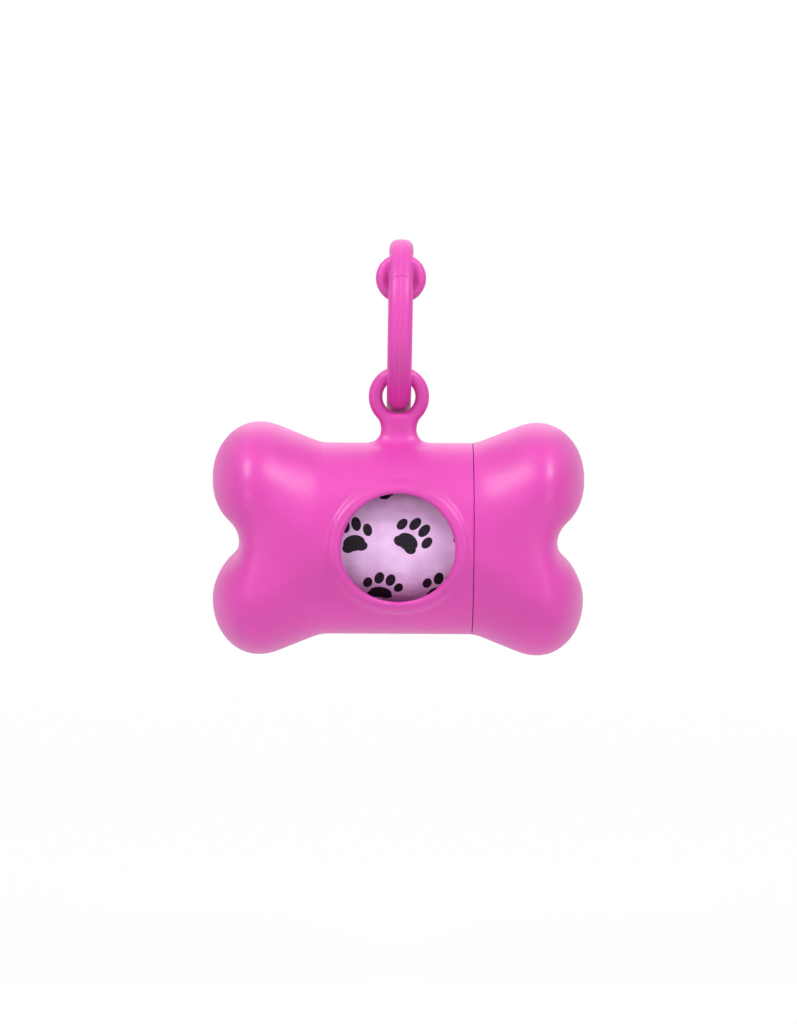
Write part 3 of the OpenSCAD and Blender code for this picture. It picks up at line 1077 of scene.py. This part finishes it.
@dataclass
class FilmRoll:
    """The roll of bags, wound film with a slightly slack outer turn."""

    finish: Material
    radius: float = 16.0
    length: float = 62.0
    bore_r: float = 7.05
    rounds: int = 288
    columns: int = 123
    layers: int = 20
    layer_step: float = 0.16
    print_w: float = 13.0
    print_h: float = 12.566
    print_x: float = 3.4
    print_turn: float = 0.32
    print_skin: float = 0.25
    slack: float = 0.42
    slack_skin: float = 0.1
    winding: float = 0.08
    fold_scale: Triple = (0.10, 0.16, 0.16)
    fold_fine: float = 3.1
    fold_mix: Span = (0.55, 0.3)
    ridge_scale: Triple = (0.05, 0.33, 0.33)
    sink_mix: Triple = (0.45, 0.6, 0.5)

    def wound(self) -> BMesh:
        """Makes the wound tube with its layered end faces."""
        bm = bmesh.new()
        bmesh.ops.create_cone(bm, cap_ends=True, segments=self.rounds, radius1=self.radius,
                              radius2=self.radius, depth=self.length,
                              matrix=Matrix.Rotation(math.pi / 2, 4, "Y"))
        sides = [e for e in bm.edges if abs(e.verts[0].co.x - e.verts[1].co.x) > 1]
        bmesh.ops.subdivide_edges(bm, edges=sides, cuts=self.columns, use_grid_fill=True)
        ends = [f for f in bm.faces if len(f.verts) == self.rounds]
        step = (self.radius - self.bore_r) / self.layers
        for end in ends:
            for turn in range(self.layers):
                bmesh.ops.inset_region(bm, faces=[end], thickness=step,
                                       depth=self.layer_step * (1 if turn % 2 else -1),
                                       use_even_offset=True)
        rims = list({e for f in ends for e in f.edges})
        bmesh.ops.delete(bm, geom=ends, context="FACES_ONLY")
        bmesh.ops.bridge_loops(bm, edges=rims)
        bmesh.ops.recalc_face_normals(bm, faces=bm.faces)
        return bm

    def print_map(self, bm: BMesh) -> None:
        """Lays the film's print on the outer turn, counted in cells.

        Args:
            bm: The roll.
        """
        layer = bm.loops.layers.uv.new("film")
        for face in bm.faces:
            middle = face.calc_center_median()
            inside = math.hypot(middle.y, middle.z) <= self.radius - self.print_skin
            if inside or abs(face.normal.x) >= 0.5:
                continue
            base = math.atan2(middle.z, -middle.y)
            for loop in face.loops:
                p = loop.vert.co
                turn = math.atan2(p.z, -p.y)
                turn += math.tau * round((base - turn) / math.tau)
                loop[layer].uv = ((p.x + self.print_x) / self.print_w,
                                  turn * self.radius / self.print_h + self.print_turn)

    def loosen(self, bm: BMesh) -> None:
        """Lets the outer turn sink in soft folds, inwards only.

        Args:
            bm: The roll.
        """
        least, by_fold, by_ridge = self.sink_mix
        for v in bm.verts:
            p = v.co
            radius = math.hypot(p.y, p.z)
            if radius < self.radius - self.slack_skin:
                continue
            broad, ridge = (Vector([c * k for c, k in zip(p, ways)])
                            for ways in (self.fold_scale, self.ridge_scale))
            fold = noise.noise(broad) * self.fold_mix[0] \
                + noise.noise(broad * self.fold_fine) * self.fold_mix[1]
            share = least + by_fold * fold + by_ridge * abs(noise.noise(ridge))
            sink = self.slack * min(1.0, max(0.0, share))
            turn = (math.atan2(p.z, -p.y) + math.pi) / math.tau
            scale = (radius - sink - self.winding * turn) / radius
            v.co = (p.x, p.y * scale, p.z * scale)

    def build(self) -> None:
        """Winds the roll."""
        bm = self.wound()
        self.print_map(bm)
        self.loosen(bm)
        Piece(bm).finish("bag_roll_film", "roll", "bag_film", self.finish, ["bag_roll"],
                         sharp=50)


def dress(node: str, material: Material) -> None:
    """Gives one of the part's own pieces, which keeps its shape, its finish.

    Args:
        node: Name of the piece.
        material: Its finish.
    """
    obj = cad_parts[node]
    if not obj.material_slots:
        obj.data.materials.append(material)
    for place in obj.material_slots:
        place.material = material
    log.info("%s: dressed", node)


@dataclass(frozen=True)
class Lamp:
    """A soft square lamp that faces the bone. Its azimuth counts from the front."""

    watts: float
    size: float
    azimuth: float
    elevation: float
    far: float = 0.75

    def hang(self, name: str, turn: int = 1) -> None:
        """Hangs the lamp.

        Args:
            name: Name of the lamp.
            turn: 1 to the right or -1 to the left.
        """
        data = bpy.data.lights.new(name, "AREA")
        data.shape, data.size, data.energy = "SQUARE", self.size, self.watts
        azimuth, elevation = turn * self.azimuth, self.elevation
        way = Vector((math.sin(azimuth) * math.cos(elevation),
                      -math.cos(azimuth) * math.cos(elevation), math.sin(elevation)))
        obj = link(name, data)
        obj.location = HOOP.to_part() @ Vector((0, 0, 0)) + way * self.far
        obj.rotation_euler = way.to_track_quat("Z", "Y").to_euler()


@dataclass
class Studio:
    """Camera, lamps and the white surroundings, in metres but for the named units."""

    distance: float = 0.7
    elevation: float = math.radians(5.7)
    roll: float = math.radians(0.3)
    mm_per_pixel: float = 0.222
    frame_rows: int = 1024
    aim_up_mm: float = 5.84
    aim_right_mm: float = 0.04
    sensor_mm: float = 36.0
    clip: float = 0.01
    floor_half: float = 6.0
    floor_drop: float = 0.078
    floor_grey: float = 0.88
    floor_roughness: float = 0.9
    floor_glow: float = 0.93
    floor_fade: Span = (0.1, 0.6)
    ambient: float = 0.4
    key: Lamp = Lamp(2.65, 0.17, math.radians(57), math.radians(53))
    fill: Lamp = Lamp(0.8, 0.34, math.radians(36), math.radians(6))
    back: Lamp = Lamp(0.7, 0.5, math.pi, math.radians(30))

    def camera(self) -> None:
        """Sets the camera at the height and angle of the photograph."""
        away = Vector((0, -math.cos(self.elevation), math.sin(self.elevation)))
        up = Vector((0, math.sin(self.elevation), math.cos(self.elevation)))
        centre = HOOP.to_part() @ Vector((0, 0, 0))
        aim = centre + up * self.aim_up_mm * MM + Vector((self.aim_right_mm * MM, 0, 0))
        data = bpy.data.cameras.new("camera")
        data.sensor_width = self.sensor_mm
        seen = self.mm_per_pixel * MM * self.frame_rows
        data.lens = self.sensor_mm * self.distance / seen
        data.clip_start = self.clip
        obj = link("camera", data)
        obj.location = aim + away * self.distance
        turn = away.to_track_quat("Z", "Y").to_matrix()
        obj.rotation_euler = (turn @ Matrix.Rotation(self.roll, 3, "Z")).to_euler()
        bpy.context.scene.camera = obj

    def floor(self) -> None:
        """Lays a floor that is seen white and keeps the shadow of the object."""
        bm = bmesh.new()
        bmesh.ops.create_grid(bm, x_segments=1, y_segments=1, size=self.floor_half)
        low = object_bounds()[0][2] - self.floor_drop
        bmesh.ops.translate(bm, vec=(0, 0, low), verts=bm.verts)
        floor = Piece(bm, "floor").obj
        material, g, shader = new_material("floor_white")
        g.set(shader, Base_Color=(self.floor_grey,) * 3 + (1.0,),
              Roughness=self.floor_roughness)
        glow = g.add("Emission", Color=(1, 1, 1, 1), Strength=1.0)
        away = g.vector("LENGTH", g.vector("MULTIPLY", g.place(), (1.0, 1.0, 0.0)))
        glows = g.spread(away, *self.floor_fade, self.floor_glow, 1.0)
        share = g.maths("MULTIPLY", g.seen_white(), glows)
        mix = g.add("MixShader", share, shader.outputs["BSDF"], glow.outputs[0])
        out = next(n for n in g.tree.nodes if n.type == "OUTPUT_MATERIAL")
        g.feed(out.inputs["Surface"], mix.outputs[0])
        floor.data.materials.append(material)
        floor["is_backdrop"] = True

    def world(self) -> None:
        """Sets a world that is seen white and lights with its ambient share."""
        world = bpy.data.worlds.new("white")
        world.use_nodes = True
        bpy.context.scene.world = world
        g = Graph(world.node_tree)
        level = g.maths("MULTIPLY_ADD", g.seen_white(), 1.0 - self.ambient, self.ambient)
        sky = g.add("Background", Color=(1, 1, 1, 1), Strength=level)
        g.add("OutputWorld", Surface=sky.outputs[0])

    def build(self) -> None:
        """Sets up the whole studio."""
        self.camera()
        self.floor()
        self.world()
        for side, turn in (("left", -1), ("right", 1)):
            self.key.hang(f"key_{side}", turn)
            self.fill.hang(f"fill_{side}", turn)
        self.back.hang("fill_back")
        bpy.context.scene.view_settings.view_transform = "Standard"


def main() -> None:
    """Builds every piece in order."""
    logging.basicConfig(level=logging.INFO, format="%(name)s %(message)s")
    Studio().build()
    finishes = Finishes()
    CaseAndCap(finishes.shell).build()
    Hook(finishes.hook).build()
    FilmRoll(finishes.film).build()
    for node, finish in (("mouth_ring", finishes.fitting), ("cap_collar", finishes.fitting),
                         ("seal_ring", finishes.seal), ("roll_core", finishes.card)):
        dress(node, finish)


if __name__ == "__main__":
    main()
